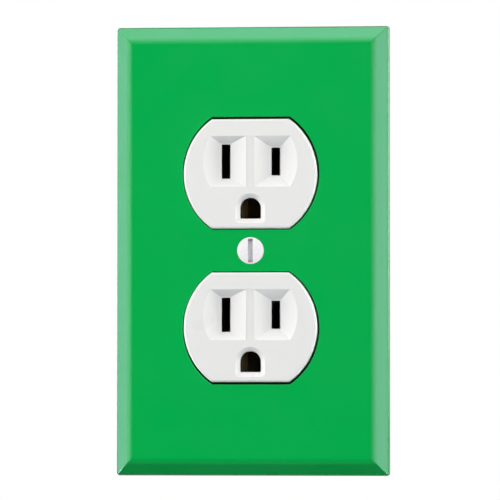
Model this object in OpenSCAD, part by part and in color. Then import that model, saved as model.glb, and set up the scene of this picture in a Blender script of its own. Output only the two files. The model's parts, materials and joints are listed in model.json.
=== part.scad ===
// Single-gang wall plate on its grounded duplex receptacle, with the centre cover screw.
// Row frame: +X right, +Y into the wall, +Z up. The wall's surface is the plane y = 0, and the
// origin is where the cover screw's axis crosses it. Every piece is drawn flat, with its local
// z as the height off the wall, and facing_room() stands it up.

/* [Wall plate] */
// Width of the wall plate
plate_w = 69.85; // [68:0.05:74]
// Height of the wall plate
plate_h = 114.3; // [112:0.1:120]
// Depth from the wall to the flat front
plate_depth = 5.8; // [5.6:0.1:6.2]
// Wall thickness of the flat front
plate_wall = 2.2; // [1.8:0.1:2.4]
// Height of the side below the bevel
plate_side_h = 2.4; // [2:0.1:2.6]
// How far the side leans in on its way up to the bevel
plate_draft = 0.25; // [0:0.05:0.4]
// Radius that blends the bevel into the flat front
plate_blend_r = 2.8; // [1:0.1:3]
// Corner radius of the outline
plate_corner_r = 0.9; // [0.5:0.1:3]
// Sideways play taken up by the plate on its screw
plate_shift_x = 0.12; // [0:0.01:0.2]

/* [Receptacle faces] */
// Distance between the centres of the two faces
face_spacing = 38.9; // [38.9:0.1:39.2]
// Diameter of a face
face_d = 34.0; // [33.6:0.1:34.2]
// Height of a face between its flats
face_h = 27.8; // [27.6:0.1:28.2]
// Height of a face off the wall
face_top = 6.6; // [6.2:0.1:7]
// Radius round the edge of a face
face_edge_r = 0.7; // [0.6:0.1:1.2]
// Gap between a face and the plate's opening
face_gap = 0.42; // [0.3:0.01:0.6]

/* [Outlet slots] */
// Distance between the two blade slots
blade_spacing = 12.7; // [12.7:0.1:12.8]
// Width of a blade slot
slot_w = 2.2; // [2:0.1:2.4]
// Height of the taller, neutral slot
neutral_slot_h = 8.7; // [8.2:0.1:8.8]
// Height of the shorter, hot slot
hot_slot_h = 7.1; // [6.6:0.1:7.2]
// Height of the blade slots above the face's centre
blade_rise = 3.175; // [3:0.025:3.3]
// Distance from the blade slots down to the ground hole
ground_drop = 11.9; // [11.8:0.1:12]
// Width of the ground hole
ground_hole_w = 5.3; // [5.2:0.1:5.5]
// Depth of the guide grooves round the blade slots
groove_depth = 1.9; // [1.4:0.1:2.2]

/* [Device] */
// Distance between the two mounting screws
mounting_spacing = 83.34; // [83.3:0.01:83.4]
// Overall length of the mounting strap
strap_l = 103.9; // [102:0.1:105]
// Thickness of the strap's steel
strap_t = 1.3; // [1.2:0.1:1.4]
// Width of the moulded body
body_w = 33.0; // [32.6:0.1:33.4]
// Length of the moulded body
body_l = 68.0; // [68:0.1:69]
// Depth of the body behind the wall's surface
body_depth = 24.5; // [24:0.1:27]

/* [Hidden] */
$fn = 64;
hull_fn = 40;      // facets of the round stretches inside a hull
eps = 0.05;        // overshoot of a cut past the face that it opens
past = 1;          // overshoot of a cut that ends in the open

// Plate
rim_t = 2.0;                                  // thickness of the rim that meets the wall
bevel_wall = 2.0;                             // thickness of the bevelled side
plate_ceiling = plate_depth - plate_wall;     // height of the inside of the front
rim_straight_h = rim_t + plate_side_h - plate_draft - bevel_wall * sqrt(2);
rib_x = 19.8;                                 // centre of the two long ribs
rib_t = 1.2;
rib_l = 98;
cross_rib_y = [-40, -13, 13, 40];
opening_spread = 0.18;                        // each opening sits this much further out than its face
boss_r = 4.4;
boss_bottom = 2.85;

// Screws, 6-32 and 8-32
thread_6_r = 1.753;
thread_8_r = 2.083;
tapped_clearance = 0.05;
cover_screw_l = 12.7;
cover_head_r = 3.4;
cover_dome_h = 0.55;
head_half_angle = 41;                         // half of the 82 degree countersink
cover_hole_r = 2.1;
cover_slot_w = 1.15;
cover_slot_depth = 1.35;
cover_slot_reach = 3.05;                      // the slot stops short of the head's edge
cover_screw_pass_r = 2.35;                    // way through the mouldings
mounting_screw_l = 25.4;
mounting_neck_r = 1.4;
mounting_neck_l = 2.6;

// Device planes, as heights off the wall
strap_back = 0.1;                             // the plate's rim alone lies on the plane 0
strap_front = strap_back + strap_t;
bridge_top = 2.6;                             // top of the moulding between and around the faces
moat_w = 0.9;                                 // trough round each face, behind the gap to the plate
moat_floor = 1.9;
face_y = face_spacing / 2;
body_top = strap_back - eps;
fit_gap = 0.15;                               // clearance round pieces held in the mouldings
flange_l = body_l + 0.4;                      // the front moulding covers the body's ends
flange_w = body_w + 3.4;                      // and stands proud of its sides, behind the openings' edges
flange_corner_r = 4.5;
body_corner_r = 4;

// Recess round the blade slots, with a ridge down its middle
recess_d = 24.1;
recess_h = 12.9;
ridge_w = 1.9;
ridge_drop = 0.15;
slot_land = 0.3;                              // flat left round a slot at the foot of its groove
skin = 0.02;                                  // thickness of the outlines that a hull joins

// Blade and ground positions, seen from the room
blade_x = blade_spacing / 2;
upper_blade_y = face_y + blade_rise;
lower_blade_y = -face_y + blade_rise;
upper_ground_y = upper_blade_y - ground_drop;
lower_ground_y = lower_blade_y - ground_drop;
contact_mid_y = blade_rise;                   // the contact strips are symmetrical about this height

// Strap
spine_w = 7.4;
cross_w = 25;
cross_h = 9.2;
ground_pad_w = 15;
ground_pad_h = 9.4;
ground_pass_r = 3.5;                          // hole in the strap for the ground pin
end_tab_w = 18;
end_tab_y = 39.2;                             // the tab's inner end lies in the face's channel
end_tab_h = 13;
end_neck_y = 43.5;                            // its outer end, squarer, joins it to the ears
end_neck_h = 9;
ear_bar_w = 32;
ear_bar_h = 7.5;
ear_hole_x = 12.4;
ear_hole_r = 1.7;
mounting_slot_r = 2.1;
mounting_slot_l = 7.2;
rivet_x = 8.6;
rivet_r = 1.5;
rivet_head_r = 2.6;
collar_r = 2.9;
collar_depth = 1.8;

// Ground terminal, on a tab bent back from the strap
ground_tab_x = -11.8;                         // outer face of the tab
ground_tab_y = -29.25;
ground_tab_w = 7.4;
ground_tab_depth = 10.6;
ground_screw_h = -5.6;

// Contacts
contact_x = 12.0;                             // outer face of the side plates
contact_t = 1.1;
terminal_half_y = 15;
terminal_y = 9.5;                             // screws this far above and below contact_mid_y
terminal_h = -11.5;                           // height of the terminal screws' axes
terminal_half_h = 6;
tulip_half_y = 3.2;
leaf_t = 0.8;
leaf_floor = -12.8;
leaf_top = -2.2;
blade_gap = 1.2;                              // what the leaves leave for a 1.5 mm blade at rest
screw_collar_r = 3.2;
screw_collar_l = 1.3;
ground_clip_h = 8.6;
ground_clip_t = 0.8;
ground_clip_low = strap_back - eps - ground_clip_t;
ground_clip_half_w = 6.8;
ground_leaf_low = -11.8;
ground_leaf_w = 4.8;
ground_rivet_x = 5.6;
ground_rivet_r = 0.85;
ground_rivet_head_r = 1.4;

// Terminals
clamp_t = 1.2;
clamp_w = 8.4;
clamp_h = 9.4;
driver_slot_w = 1.2;
driver_slot_depth = 1.1;
head_8_r = 3.9;
head_8_h = 1.9;
shank_8_l = 7.4;
ground_head_flats = 7.0;
ground_clamp_w = 7.2;
ground_clamp_h = 8.4;
ground_shank_l = 5.6;
clamp_lift = 0.06;                            // gap between a side plate and its clamp
head_lift = clamp_lift + clamp_t + 0.04;      // and up to the underside of the screw's head

// Self-grounding clip
clip_t = 0.5;
clip_rivet_x = 6.2;
clip_rivet_y = 37.4;
clip_rivet_r = 1.0;
clip_r = 3.6;                                 // round its screw
clip_arm_x = 1.2;
clip_arm_w = 5;

// Back body
pocket_front = -3.5;
pocket_back = -19.5;
pocket_half_y = 15.2;
body_chamfer = 1.2;
rivet_seat = 1;                               // how far the long rivets' rear heads are sunk
screw_way_in = 5.2;                           // inner end of the blind hole behind a terminal screw
blade_pocket_in = 4.2;                        // inner wall of the pocket round a tulip
blade_pocket_half_y = neutral_slot_h / 2 + 0.3;
wire_hole = 3.0;
wire_hole_y = 3.4;

plastic_white = "#f0f0ee";
body_white = "#e6e6e2";
brass = "#c9a64e";
nickel = "#c4c6c8";
zinc_steel = "#aeb3b8";

// ---------- placing ----------

// Stands a piece up, with its local z pointing into the room
module facing_room() rotate([90, 0, 0]) children();

// Turns a piece's own z to point out of the right side (1) or the left side (-1)
module out_of_side(side) rotate([0, side * 90, 0]) children();

module prism_along_y(l) rotate([90, 0, 0]) linear_extrude(l, center = true) children();

module prism_along_x(l) rotate([90, 0, 90]) linear_extrude(l, center = true) children();

// A box given by its lowest and highest corners
module block(low, high) translate(low) cube(high - low);

// The same on either side of the middle: x runs from near to far, measured outwards
module side_block(side, x_near, x_far, y_low, y_high, h_low, h_high) {
    x_low = min(side * x_near, side * x_far);
    x_high = max(side * x_near, side * x_far);
    block([x_low, y_low, h_low], [x_high, y_high, h_high]);
}

// ---------- outlines ----------

module rounded_rect(w, h, r) {
    square([w - 2 * r, h], center = true);
    square([w, h - 2 * r], center = true);
    for (sx = [-1, 1], sy = [-1, 1])
        translate([sx * (w / 2 - r), sy * (h / 2 - r)]) circle(r = r);
}

// A round outline with its top and bottom cut flat
module flatted_circle(d, h) {
    intersection() {
        circle(d = d);
        square([d + past, h], center = true);
    }
}

// The ground hole: a round top on a square bottom
module ground_outline(w) {
    circle(d = w);
    translate([-w / 2, -w / 2]) square([w, w / 2]);
}

module slot_outline(l, r) {
    square([l - 2 * r, 2 * r], center = true);
    for (s = [-1, 1]) translate([s * (l / 2 - r), 0]) circle(r = r);
}

// Cross-section of the plate's outside: leaning side, 45 degree bevel, round blend, flat front
module plate_section(w) {
    bevel_x = w / 2 - plate_draft;
    bevel_top_x = bevel_x - (plate_depth - plate_side_h);
    blend_tangent = plate_blend_r * tan(22.5);
    centre = [bevel_top_x - blend_tangent, plate_depth - plate_blend_r];
    blend_steps = 6;
    half = concat(
        [[w / 2, 0], [bevel_x, plate_side_h]],
        [for (i = [0:blend_steps]) let (a = 45 + 45 * i / blend_steps)
            centre + plate_blend_r * [cos(a), sin(a)]]
    );
    mirrored = [for (i = [len(half) - 1:-1:0]) [-half[i].x, half[i].y]];
    polygon(concat(half, mirrored));
}

// Cross-section of the plate's hollow, parallel to the bevel where it slopes
module hollow_section(w) {
    inner = w / 2 - rim_t;
    slope = plate_ceiling - rim_straight_h;
    polygon([
        [inner, -past], [inner, rim_straight_h], [inner - slope, plate_ceiling],
        [-inner + slope, plate_ceiling], [-inner, rim_straight_h], [-inner, -past]
    ]);
}

// Side view of a moulding with rounded top edges, from height low to height high
module round_topped_section(half_w, low, high, r) {
    translate([-half_w, low]) square([2 * half_w, high - low - r]);
    translate([-half_w + r, low]) square([2 * (half_w - r), high - low]);
    for (s = [-1, 1]) translate([s * (half_w - r), high - r]) circle(r = r);
}

// ---------- wall plate and its screw ----------

module plate_body() {
    intersection() {
        prism_along_y(plate_h + past) plate_section(plate_w);
        prism_along_x(plate_w + past) plate_section(plate_h);
        linear_extrude(plate_depth) rounded_rect(plate_w, plate_h, plate_corner_r);
    }
}

module plate_hollow() {
    intersection() {
        prism_along_y(plate_h) hollow_section(plate_w);
        prism_along_x(plate_w) hollow_section(plate_h);
    }
}

module plate_ribs() {
    rib_bottom = 0.7;
    cross_bottom = 1.7;
    cross_t = 1.0;
    tall_stop = 1.6;                          // keeps the taller half inside the bevelled wall
    for (s = [-1, 1]) {
        block([s * rib_x - rib_t / 2, -rib_l / 2, rib_bottom],
              [s * rib_x + rib_t / 2, rib_l / 2, plate_ceiling + eps]);
        for (y = cross_rib_y)
            side_block(s, rib_x, plate_w / 2 - rim_t / 2, y - cross_t / 2, y + cross_t / 2,
                       cross_bottom, plate_side_h + 0.4);
        for (y = cross_rib_y)
            side_block(s, rib_x, plate_w / 2 - rim_t - tall_stop, y - cross_t / 2, y + cross_t / 2,
                       cross_bottom, plate_ceiling + eps);
    }
    translate([-plate_shift_x, 0, boss_bottom]) cylinder(r = boss_r, h = plate_ceiling - boss_bottom + eps);
}

module wall_plate() {
    cone_h = (cover_head_r + 0.1 - cover_hole_r) / tan(head_half_angle);
    color("#05ac4c") facing_room() translate([plate_shift_x, 0, 0]) difference() {
        union() {
            difference() {
                plate_body();
                plate_hollow();
            }
            plate_ribs();
        }
        for (s = [-1, 1]) translate([0, s * (face_y + opening_spread), boss_bottom])
            linear_extrude(plate_depth) flatted_circle(face_d + 2 * face_gap, face_h + 2 * face_gap);
        translate([-plate_shift_x, 0, 0]) {
            cylinder(r = cover_hole_r, h = plate_depth + past);
            translate([0, 0, plate_depth - cone_h])
                cylinder(r1 = cover_hole_r, r2 = cover_head_r + 0.1, h = cone_h);
        }
    }
}

module cover_screw() {
    cone_h = (cover_head_r - thread_6_r) / tan(head_half_angle);
    dome_r = (cover_head_r * cover_head_r + cover_dome_h * cover_dome_h) / (2 * cover_dome_h);
    color("#f4f4f2") facing_room() difference() {
        union() {
            translate([0, 0, plate_depth - cone_h]) cylinder(r1 = thread_6_r, r2 = cover_head_r, h = cone_h);
            intersection() {
                translate([0, 0, plate_depth + cover_dome_h - dome_r]) sphere(r = dome_r);
                translate([0, 0, plate_depth - eps]) cylinder(r = cover_head_r, h = 2 * cover_dome_h);
            }
            translate([0, 0, plate_depth - cover_screw_l])
                cylinder(r = thread_6_r, h = cover_screw_l - cone_h / 2);
        }
        block([-cover_slot_w / 2, -cover_slot_reach, plate_depth + cover_dome_h - cover_slot_depth],
              [cover_slot_w / 2, cover_slot_reach, plate_depth + past]);
    }
}

// ---------- mouldings ----------

// The hollow that guides a blade into its slot: flared from the slot to a half of the round recess
module guide_groove(side, slot_h) {
    hull($fn = hull_fn) {
        translate([0, 0, face_top]) linear_extrude(skin) intersection() {
            flatted_circle(recess_d, recess_h);
            translate([side * (ridge_w + recess_d) / 2, 0])
                square([recess_d, recess_h + past], center = true);
        }
        translate([side * blade_x, 0, face_top - groove_depth]) linear_extrude(skin)
            square([slot_w + 2 * slot_land, slot_h + 2 * slot_land], center = true);
    }
}

module ground_funnel() {
    funnel_w = ground_hole_w + 2.3;
    funnel_depth = 0.9;
    hull($fn = hull_fn) {
        translate([0, 0, face_top]) linear_extrude(skin) ground_outline(funnel_w);
        translate([0, 0, face_top - funnel_depth]) linear_extrude(skin) ground_outline(ground_hole_w + 0.2);
    }
}

module outlet_openings() {
    slot_l = face_top + past;
    translate([0, blade_rise, 0]) {
        translate([-blade_x, 0, -past]) linear_extrude(slot_l + past)
            square([slot_w, neutral_slot_h], center = true);
        translate([blade_x, 0, -past]) linear_extrude(slot_l + past)
            square([slot_w, hot_slot_h], center = true);
        guide_groove(-1, neutral_slot_h);
        guide_groove(1, hot_slot_h);
        // the ridge between the grooves sits a little below the face
        translate([0, 0, face_top - ridge_drop]) linear_extrude(past) flatted_circle(recess_d, recess_h);
    }
    translate([0, blade_rise - ground_drop, 0]) {
        translate([0, 0, -past]) linear_extrude(slot_l + past) ground_outline(ground_hole_w);
        ground_funnel();
    }
}

module face_boss() {
    intersection() {
        rotate_extrude() intersection() {
            round_topped_section(face_d / 2, strap_back, face_top, face_edge_r);
            square([face_d, face_top + past]);
        }
        prism_along_x(face_d + past) round_topped_section(face_h / 2, strap_back, face_top, face_edge_r);
    }
}

// The moulding under the faces, with a trough where each of them stands up
module flange() {
    difference() {
        translate([0, 0, strap_back]) linear_extrude(bridge_top - strap_back)
            rounded_rect(flange_w, flange_l, flange_corner_r);
        for (s = [-1, 1]) translate([0, s * face_y, moat_floor]) linear_extrude(bridge_top)
            flatted_circle(face_d + 2 * moat_w, face_h + 2 * moat_w);
    }
}

module receptacle_face() {
    color(plastic_white) facing_room() difference() {
        union() {
            flange();
            for (s = [-1, 1]) translate([0, s * face_y, 0]) face_boss();
        }
        for (s = [-1, 1]) translate([0, s * face_y, 0]) outlet_openings();
        // channel for the strap, and pockets for the heads of the small rivets
        translate([0, 0, -past]) linear_extrude(strap_front + fit_gap + past) strap_outline(fit_gap);
        for (p = ground_rivet_places()) translate([p.x, p.y, 0])
            cylinder(r = ground_rivet_head_r + 0.6, h = strap_front + 0.8);
        // cover screw and assembly rivets
        cylinder(r = cover_screw_pass_r, h = bridge_top + past);
        for (s = [-1, 1]) translate([s * rivet_x, 0, 0]) cylinder(r = rivet_r + 0.1, h = bridge_top + past);
    }
}

// Outline of the body seen from behind, with a chamfer round its back edge
module body_block() {
    half_l = body_l / 2;
    module section(half) {
        polygon([
            [-half, body_top], [half, body_top], [half, -body_depth + body_chamfer],
            [half - body_chamfer, -body_depth], [-half + body_chamfer, -body_depth],
            [-half, -body_depth + body_chamfer]
        ]);
    }
    intersection() {
        prism_along_y(body_l + past) section(body_w / 2);
        prism_along_x(body_w + past) section(half_l);
        translate([0, 0, -body_depth]) linear_extrude(body_depth + past)
            rounded_rect(body_w, body_l, body_corner_r);
    }
}

// Everything that one side's contact strip and terminals take out of the body
module contact_pockets(side) {
    plate_in = contact_x - contact_t - 0.1;
    plate_out = contact_x + 0.1;
    m = contact_mid_y;
    side_block(side, plate_out, body_w / 2 + past, m - pocket_half_y, m + pocket_half_y, pocket_back,
               pocket_front);
    side_block(side, plate_in, plate_out + eps, m - pocket_half_y, m + pocket_half_y,
               terminal_h - terminal_half_h - 0.2, body_top + past);
    side_block(side, plate_in, plate_out, m - face_y - tulip_half_y - 0.2, m + face_y + tulip_half_y + 0.2,
               leaf_floor - 0.3, body_top + past);
    for (y = [upper_blade_y, lower_blade_y])
        side_block(side, blade_pocket_in, plate_out, y - blade_pocket_half_y, y + blade_pocket_half_y,
                   leaf_floor - 0.3, body_top + past);
    for (s = [-1, 1]) translate([0, m + s * terminal_y, terminal_h]) out_of_side(side) {
        translate([0, 0, screw_way_in]) cylinder(r = thread_8_r + 0.3, h = plate_in - screw_way_in + eps);
        translate([0, 0, plate_in - screw_collar_l - 0.2])
            cylinder(r = screw_collar_r + 0.2, h = screw_collar_l + 0.2 + eps);
    }
    // wire holes from the back, two to a terminal
    for (s = [-1, 1], t = [-1, 1])
        translate([side * (plate_out + wire_hole / 2 + 0.1), m + s * terminal_y + t * wire_hole_y, 0])
            translate([0, 0, -body_depth - past])
                linear_extrude(body_depth + pocket_back + past + eps) rounded_rect(wire_hole, wire_hole, 0.9);
}

// A well for the ground clip's leaves under a shallow seat for its base
module ground_pockets(y) {
    well = [4.2, ground_leaf_w / 2 + 0.3, -ground_leaf_low + 0.8];
    seat = [ground_clip_half_w + 0.6, ground_clip_h / 2 + 0.3, -ground_clip_low + 0.85];
    for (p = [well, seat]) block([-p.x, y - p.y, -p.z], [p.x, y + p.y, body_top + past]);
}

module back_body() {
    cover_screw_pass_l = 9;
    notch_h = -ground_tab_depth - 3;
    ground_screw_way_in = 6.6;
    gauge_y = -22.5;
    panel_y = 21;
    color(body_white) facing_room() difference() {
        body_block();
        for (side = [-1, 1]) contact_pockets(side);
        for (y = [upper_ground_y, lower_ground_y]) ground_pockets(y);
        // cover screw and the strap's threaded collar
        translate([0, 0, -cover_screw_pass_l])
            cylinder(r = cover_screw_pass_r, h = cover_screw_pass_l + past);
        translate([0, 0, -collar_depth]) cylinder(r = collar_r + 0.2, h = collar_depth + past);
        // assembly rivets, with seats for their heads
        for (s = [-1, 1]) translate([s * rivet_x, 0, -body_depth]) {
            translate([0, 0, -past]) cylinder(r = rivet_r + 0.1, h = body_depth + 2 * past);
            translate([0, 0, -past]) cylinder(r = rivet_head_r + 0.3, h = past + rivet_seat);
        }
        // corner notch for the ground terminal, and the way in for its screw
        block([-body_w / 2 - past, -body_l / 2 - past, notch_h],
              [ground_tab_x + strap_t + fit_gap, ground_tab_y + ground_tab_w / 2 + 1, body_top + past]);
        translate([0, ground_tab_y, ground_screw_h]) out_of_side(-1)
            translate([0, 0, ground_screw_way_in])
                cylinder(r = thread_8_r + 0.3, h = -ground_tab_x - ground_screw_way_in);
        // stripping gauge and a sunk panel on the back
        translate([0, gauge_y, -body_depth - past]) linear_extrude(past + 0.7) slot_outline(16, 1.6);
        translate([0, panel_y, -body_depth - past]) linear_extrude(past + 0.4) rounded_rect(16, 15, 1.5);
    }
}

// ---------- strap ----------

function ground_rivet_places() =
    [for (y = [upper_ground_y, lower_ground_y], s = [-1, 1]) [s * ground_rivet_x, y]];

// The strap's flat outline; grow widens it for the channel that holds it
module strap_outline(grow = 0) {
    g = 2 * grow;
    square([spine_w + g, body_l], center = true);
    rounded_rect(cross_w + g, cross_h + g, 1.5);
    for (y = [upper_ground_y, lower_ground_y])
        translate([0, y]) rounded_rect(ground_pad_w + g, ground_pad_h + g, 2);
    translate([ground_tab_x - grow, ground_tab_y - ground_tab_w / 2 - grow])
        square([-ground_tab_x, ground_tab_w + g]);
    for (s = [-1, 1]) translate([0, s * end_tab_y]) rounded_rect(end_tab_w + g, end_tab_h + g, 2.5);
}

module strap_ends() {
    bar_y = strap_l / 2 - ear_bar_h / 2;
    score_w = 1.1;
    score_depth = 1.9;
    difference() {
        for (s = [-1, 1]) {
            translate([0, s * bar_y]) rounded_rect(ear_bar_w, ear_bar_h, 2.4);
            translate([0, s * end_neck_y]) rounded_rect(end_tab_w, end_neck_h, 1);
        }
        for (s = [-1, 1], t = [-1, 1]) {
            translate([t * ear_hole_x, s * bar_y]) circle(r = ear_hole_r);
            for (edge = [-1, 1])
                translate([t * (end_tab_w / 2 + score_w / 2 - 0.2), s * bar_y + edge * ear_bar_h / 2])
                square([score_w, 2 * score_depth], center = true);
        }
    }
}

module mounting_strap() {
    color(zinc_steel) facing_room() difference() {
        union() {
            translate([0, 0, strap_back]) linear_extrude(strap_t) {
                strap_outline();
                strap_ends();
            }
            translate([0, 0, strap_back - collar_depth]) cylinder(r = collar_r, h = collar_depth + eps);
            block([ground_tab_x, ground_tab_y - ground_tab_w / 2, -ground_tab_depth],
                  [ground_tab_x + strap_t, ground_tab_y + ground_tab_w / 2, strap_front]);
        }
        translate([0, 0, -collar_depth - past])
            cylinder(r = thread_6_r + tapped_clearance, h = 2 * collar_depth + past + 2);
        for (y = [upper_ground_y, lower_ground_y])
            translate([0, y, -past]) cylinder(r = ground_pass_r, h = strap_t + 2 * past);
        for (p = ground_rivet_places()) translate([p.x, p.y, -past])
            cylinder(r = ground_rivet_r + 0.05, h = strap_t + 2 * past);
        for (s = [-1, 1]) {
            translate([s * rivet_x, 0, -past]) cylinder(r = rivet_r + 0.1, h = strap_t + 2 * past);
            translate([0, s * mounting_spacing / 2, -past])
                linear_extrude(strap_t + 2 * past) slot_outline(mounting_slot_l, mounting_slot_r);
        }
        translate([clip_rivet_x, clip_rivet_y, -past])
            cylinder(r = clip_rivet_r + 0.05, h = strap_t + 2 * past);
        translate([0, ground_tab_y, ground_screw_h]) out_of_side(-1)
            translate([0, 0, 8]) cylinder(r = thread_8_r + tapped_clearance, h = 8);
    }
}

// ---------- contacts ----------

// Two spring leaves that pinch a blade: near and far leaf mirrored about the blade
module tulip_section() {
    pinch = blade_gap / 2;
    pinch_low = -5.6;
    pinch_high = -4.8;
    out = 1.75;
    in = 1.0;
    heel = leaf_floor + 3;
    for (s = [-1, 1]) scale([s, 1]) polygon([
        [out, leaf_floor], [out, heel], [pinch + leaf_t, pinch_low], [pinch + leaf_t + 0.1, pinch_high],
        [out, leaf_top], [in, leaf_top], [pinch, pinch_high], [pinch, pinch_low], [in, heel],
        [in, leaf_floor + leaf_t], [0, leaf_floor + leaf_t], [0, leaf_floor]
    ]);
}

// One side's contact strip: two terminal plates, the fin between them, and a tulip for each blade
module contact_strip(side) {
    inner = contact_x - contact_t;
    m = contact_mid_y;
    plate_near_y = 4;
    arm_h = 4;
    difference() {
        union() {
            for (s = [-1, 1]) {
                y_near = m + s * plate_near_y;
                y_far = m + s * terminal_half_y;
                side_block(side, inner, contact_x, min(y_near, y_far), max(y_near, y_far),
                           terminal_h - terminal_half_h, terminal_h + terminal_half_h);
                // arm from the terminal plate to the tulip
                y_tip = m + s * (face_y + tulip_half_y);
                side_block(side, inner, contact_x, min(y_far - s, y_tip), max(y_far - s, y_tip),
                           leaf_floor, leaf_floor + arm_h);
                translate([0, m + s * face_y, 0]) {
                    side_block(side, blade_x, contact_x, -tulip_half_y, tulip_half_y, leaf_floor,
                               leaf_floor + leaf_t);
                    translate([side * blade_x, 0, 0]) prism_along_y(2 * tulip_half_y) tulip_section();
                }
                translate([0, m + s * terminal_y, terminal_h]) out_of_side(side)
                    translate([0, 0, inner - screw_collar_l])
                        cylinder(r = screw_collar_r, h = screw_collar_l + eps);
            }
            // break-off fin
            side_block(side, inner, contact_x, m - plate_near_y - 0.5, m + plate_near_y + 0.5,
                       terminal_h - 1.6, terminal_h + 1.6);
        }
        for (s = [-1, 1]) translate([0, m + s * terminal_y, terminal_h]) out_of_side(side)
            translate([0, 0, inner - screw_collar_l - past])
                cylinder(r = thread_8_r + tapped_clearance, h = contact_t + screw_collar_l + 2 * past);
        // screwdriver slot that lets the fin be broken off
        side_block(side, inner - past, contact_x + past, m - 2.2, m + 2.2, terminal_h - 0.5,
                   terminal_h + 0.5);
    }
}

module hot_contact() color(brass) facing_room() contact_strip(1);

module neutral_contact() color(brass) facing_room() contact_strip(-1);

// A clip under the strap that grips the ground pin from both sides
module ground_contact(y) {
    leaf_t = 0.7;
    root_x = 3.4;
    pinch_x = 2.15;
    tip_x = 2.6;
    pinch_h = -8.6;
    color(brass) facing_room() translate([0, y, 0]) {
        difference() {
            block([-ground_clip_half_w, -ground_clip_h / 2, ground_clip_low],
                  [ground_clip_half_w, ground_clip_h / 2, ground_clip_low + ground_clip_t]);
            translate([0, 0, -past]) cylinder(r = ground_pass_r, h = 2 * past);
            for (s = [-1, 1]) translate([s * ground_rivet_x, 0, -past])
                cylinder(r = ground_rivet_r + 0.05, h = 2 * past);
        }
        prism_along_y(ground_leaf_w) for (s = [-1, 1]) scale([s, 1]) polygon([
            [root_x + leaf_t, ground_clip_low + eps], [pinch_x + leaf_t, pinch_h],
            [tip_x + leaf_t, ground_leaf_low], [tip_x, ground_leaf_low],
            [pinch_x, pinch_h], [root_x, ground_clip_low + eps]
        ]);
    }
}

module ground_contact_upper() ground_contact(upper_ground_y);

module ground_contact_lower() ground_contact(lower_ground_y);

// ---------- rivets ----------

// A rivet along z with a domed head at each end
module rivet(r, low, high, head_r, head_h) {
    translate([0, 0, low - eps]) cylinder(r = r, h = high - low + 2 * eps);
    translate([0, 0, high]) cylinder(r1 = head_r, r2 = head_r * 0.72, h = head_h);
    translate([0, 0, low - head_h]) cylinder(r1 = head_r * 0.72, r2 = head_r, h = head_h);
}

module ground_contact_rivets() {
    color(nickel) facing_room() for (p = ground_rivet_places())
        translate([p.x, p.y, 0])
            rivet(ground_rivet_r, ground_clip_low, strap_front, ground_rivet_head_r, 0.45);
}

module assembly_rivets() {
    color(zinc_steel) facing_room() for (s = [-1, 1])
        translate([s * rivet_x, 0, 0])
            rivet(rivet_r, -body_depth + rivet_seat, bridge_top, rivet_head_r, 0.75);
}

// ---------- terminals ----------

// Screwdriver slot along y, cut down from the top of a head
module driver_slot(reach, head_top)
    block([-driver_slot_w / 2, -reach, head_top - driver_slot_depth],
          [driver_slot_w / 2, reach, head_top + past]);

// Binding-head screw along z: the head's underside is at 0
module terminal_screw_shape(shank_l) {
    bevel = 0.7;
    difference() {
        union() {
            cylinder(r = head_8_r, h = head_8_h - bevel);
            translate([0, 0, head_8_h - bevel]) cylinder(r1 = head_8_r, r2 = head_8_r - bevel, h = bevel);
            translate([0, 0, -shank_l]) cylinder(r = thread_8_r, h = shank_l + eps);
        }
        driver_slot(head_8_r + past, head_8_h);
    }
}

module hex_screw_shape(shank_l) {
    head_h = 2.4;
    difference() {
        union() {
            cylinder(d = ground_head_flats / cos(30), h = head_h, $fn = 6);
            translate([0, 0, -shank_l]) cylinder(r = thread_8_r, h = shank_l + eps);
        }
        driver_slot(ground_head_flats, head_h);
    }
}

module clamp_shape(w, h) {
    difference() {
        linear_extrude(clamp_t) rounded_rect(h, w, 0.9);
        translate([0, 0, -past]) cylinder(r = thread_8_r + 0.17, h = clamp_t + 2 * past);
    }
}

// Places a terminal's piece on the side plate at z = lift above the plate's outer face
module at_terminal(side, vertical, lift) {
    facing_room() translate([0, contact_mid_y + vertical * terminal_y, terminal_h])
        out_of_side(side) translate([0, 0, contact_x + lift]) children();
}

module at_ground_terminal(lift) {
    facing_room() translate([0, ground_tab_y, ground_screw_h])
        out_of_side(-1) translate([0, 0, -ground_tab_x + lift]) children();
}

module terminal_clamp(side, vertical, metal)
    color(metal) at_terminal(side, vertical, clamp_lift) clamp_shape(clamp_w, clamp_h);

module terminal_screw(side, vertical, metal)
    color(metal) at_terminal(side, vertical, head_lift) rotate([0, 0, 20 * vertical + 35])
        terminal_screw_shape(shank_8_l);

module ground_clamp() color(brass) at_ground_terminal(clamp_lift) clamp_shape(ground_clamp_w, ground_clamp_h);

module ground_screw() color("#1f8a3b") at_ground_terminal(head_lift) rotate([0, 0, 60])
    hex_screw_shape(ground_shank_l);

// ---------- mounting screws, washer and clip ----------

// Pan-head screw whose undercut neck keeps it captive; the thread starts behind the strap
module mounting_screw(s) {
    head_r = 3.1;
    head_h = 1.8;
    head_edge = 0.6;
    color(zinc_steel) facing_room() translate([0, s * mounting_spacing / 2, strap_front]) difference() {
        union() {
            cylinder(r = head_r, h = head_h - head_edge);
            translate([0, 0, head_h - head_edge])
                cylinder(r1 = head_r, r2 = head_r - head_edge, h = head_edge);
            translate([0, 0, -mounting_neck_l - eps])
                cylinder(r = mounting_neck_r, h = mounting_neck_l + 2 * eps);
            translate([0, 0, -mounting_screw_l])
                cylinder(r = thread_6_r, h = mounting_screw_l - mounting_neck_l);
        }
        rotate([0, 0, s * 25]) driver_slot(head_r + past, head_h);
    }
}

module retaining_washer() {
    washer_t = 0.8;
    color("#8a5a3a") facing_room()
        translate([0, -mounting_spacing / 2, strap_back - eps - washer_t]) difference() {
            linear_extrude(washer_t) rounded_rect(9.4, 9.4, 0.6);
            translate([0, 0, -past]) cylinder(r = mounting_neck_r + 0.06, h = washer_t + 2 * past);
        }
}

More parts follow.
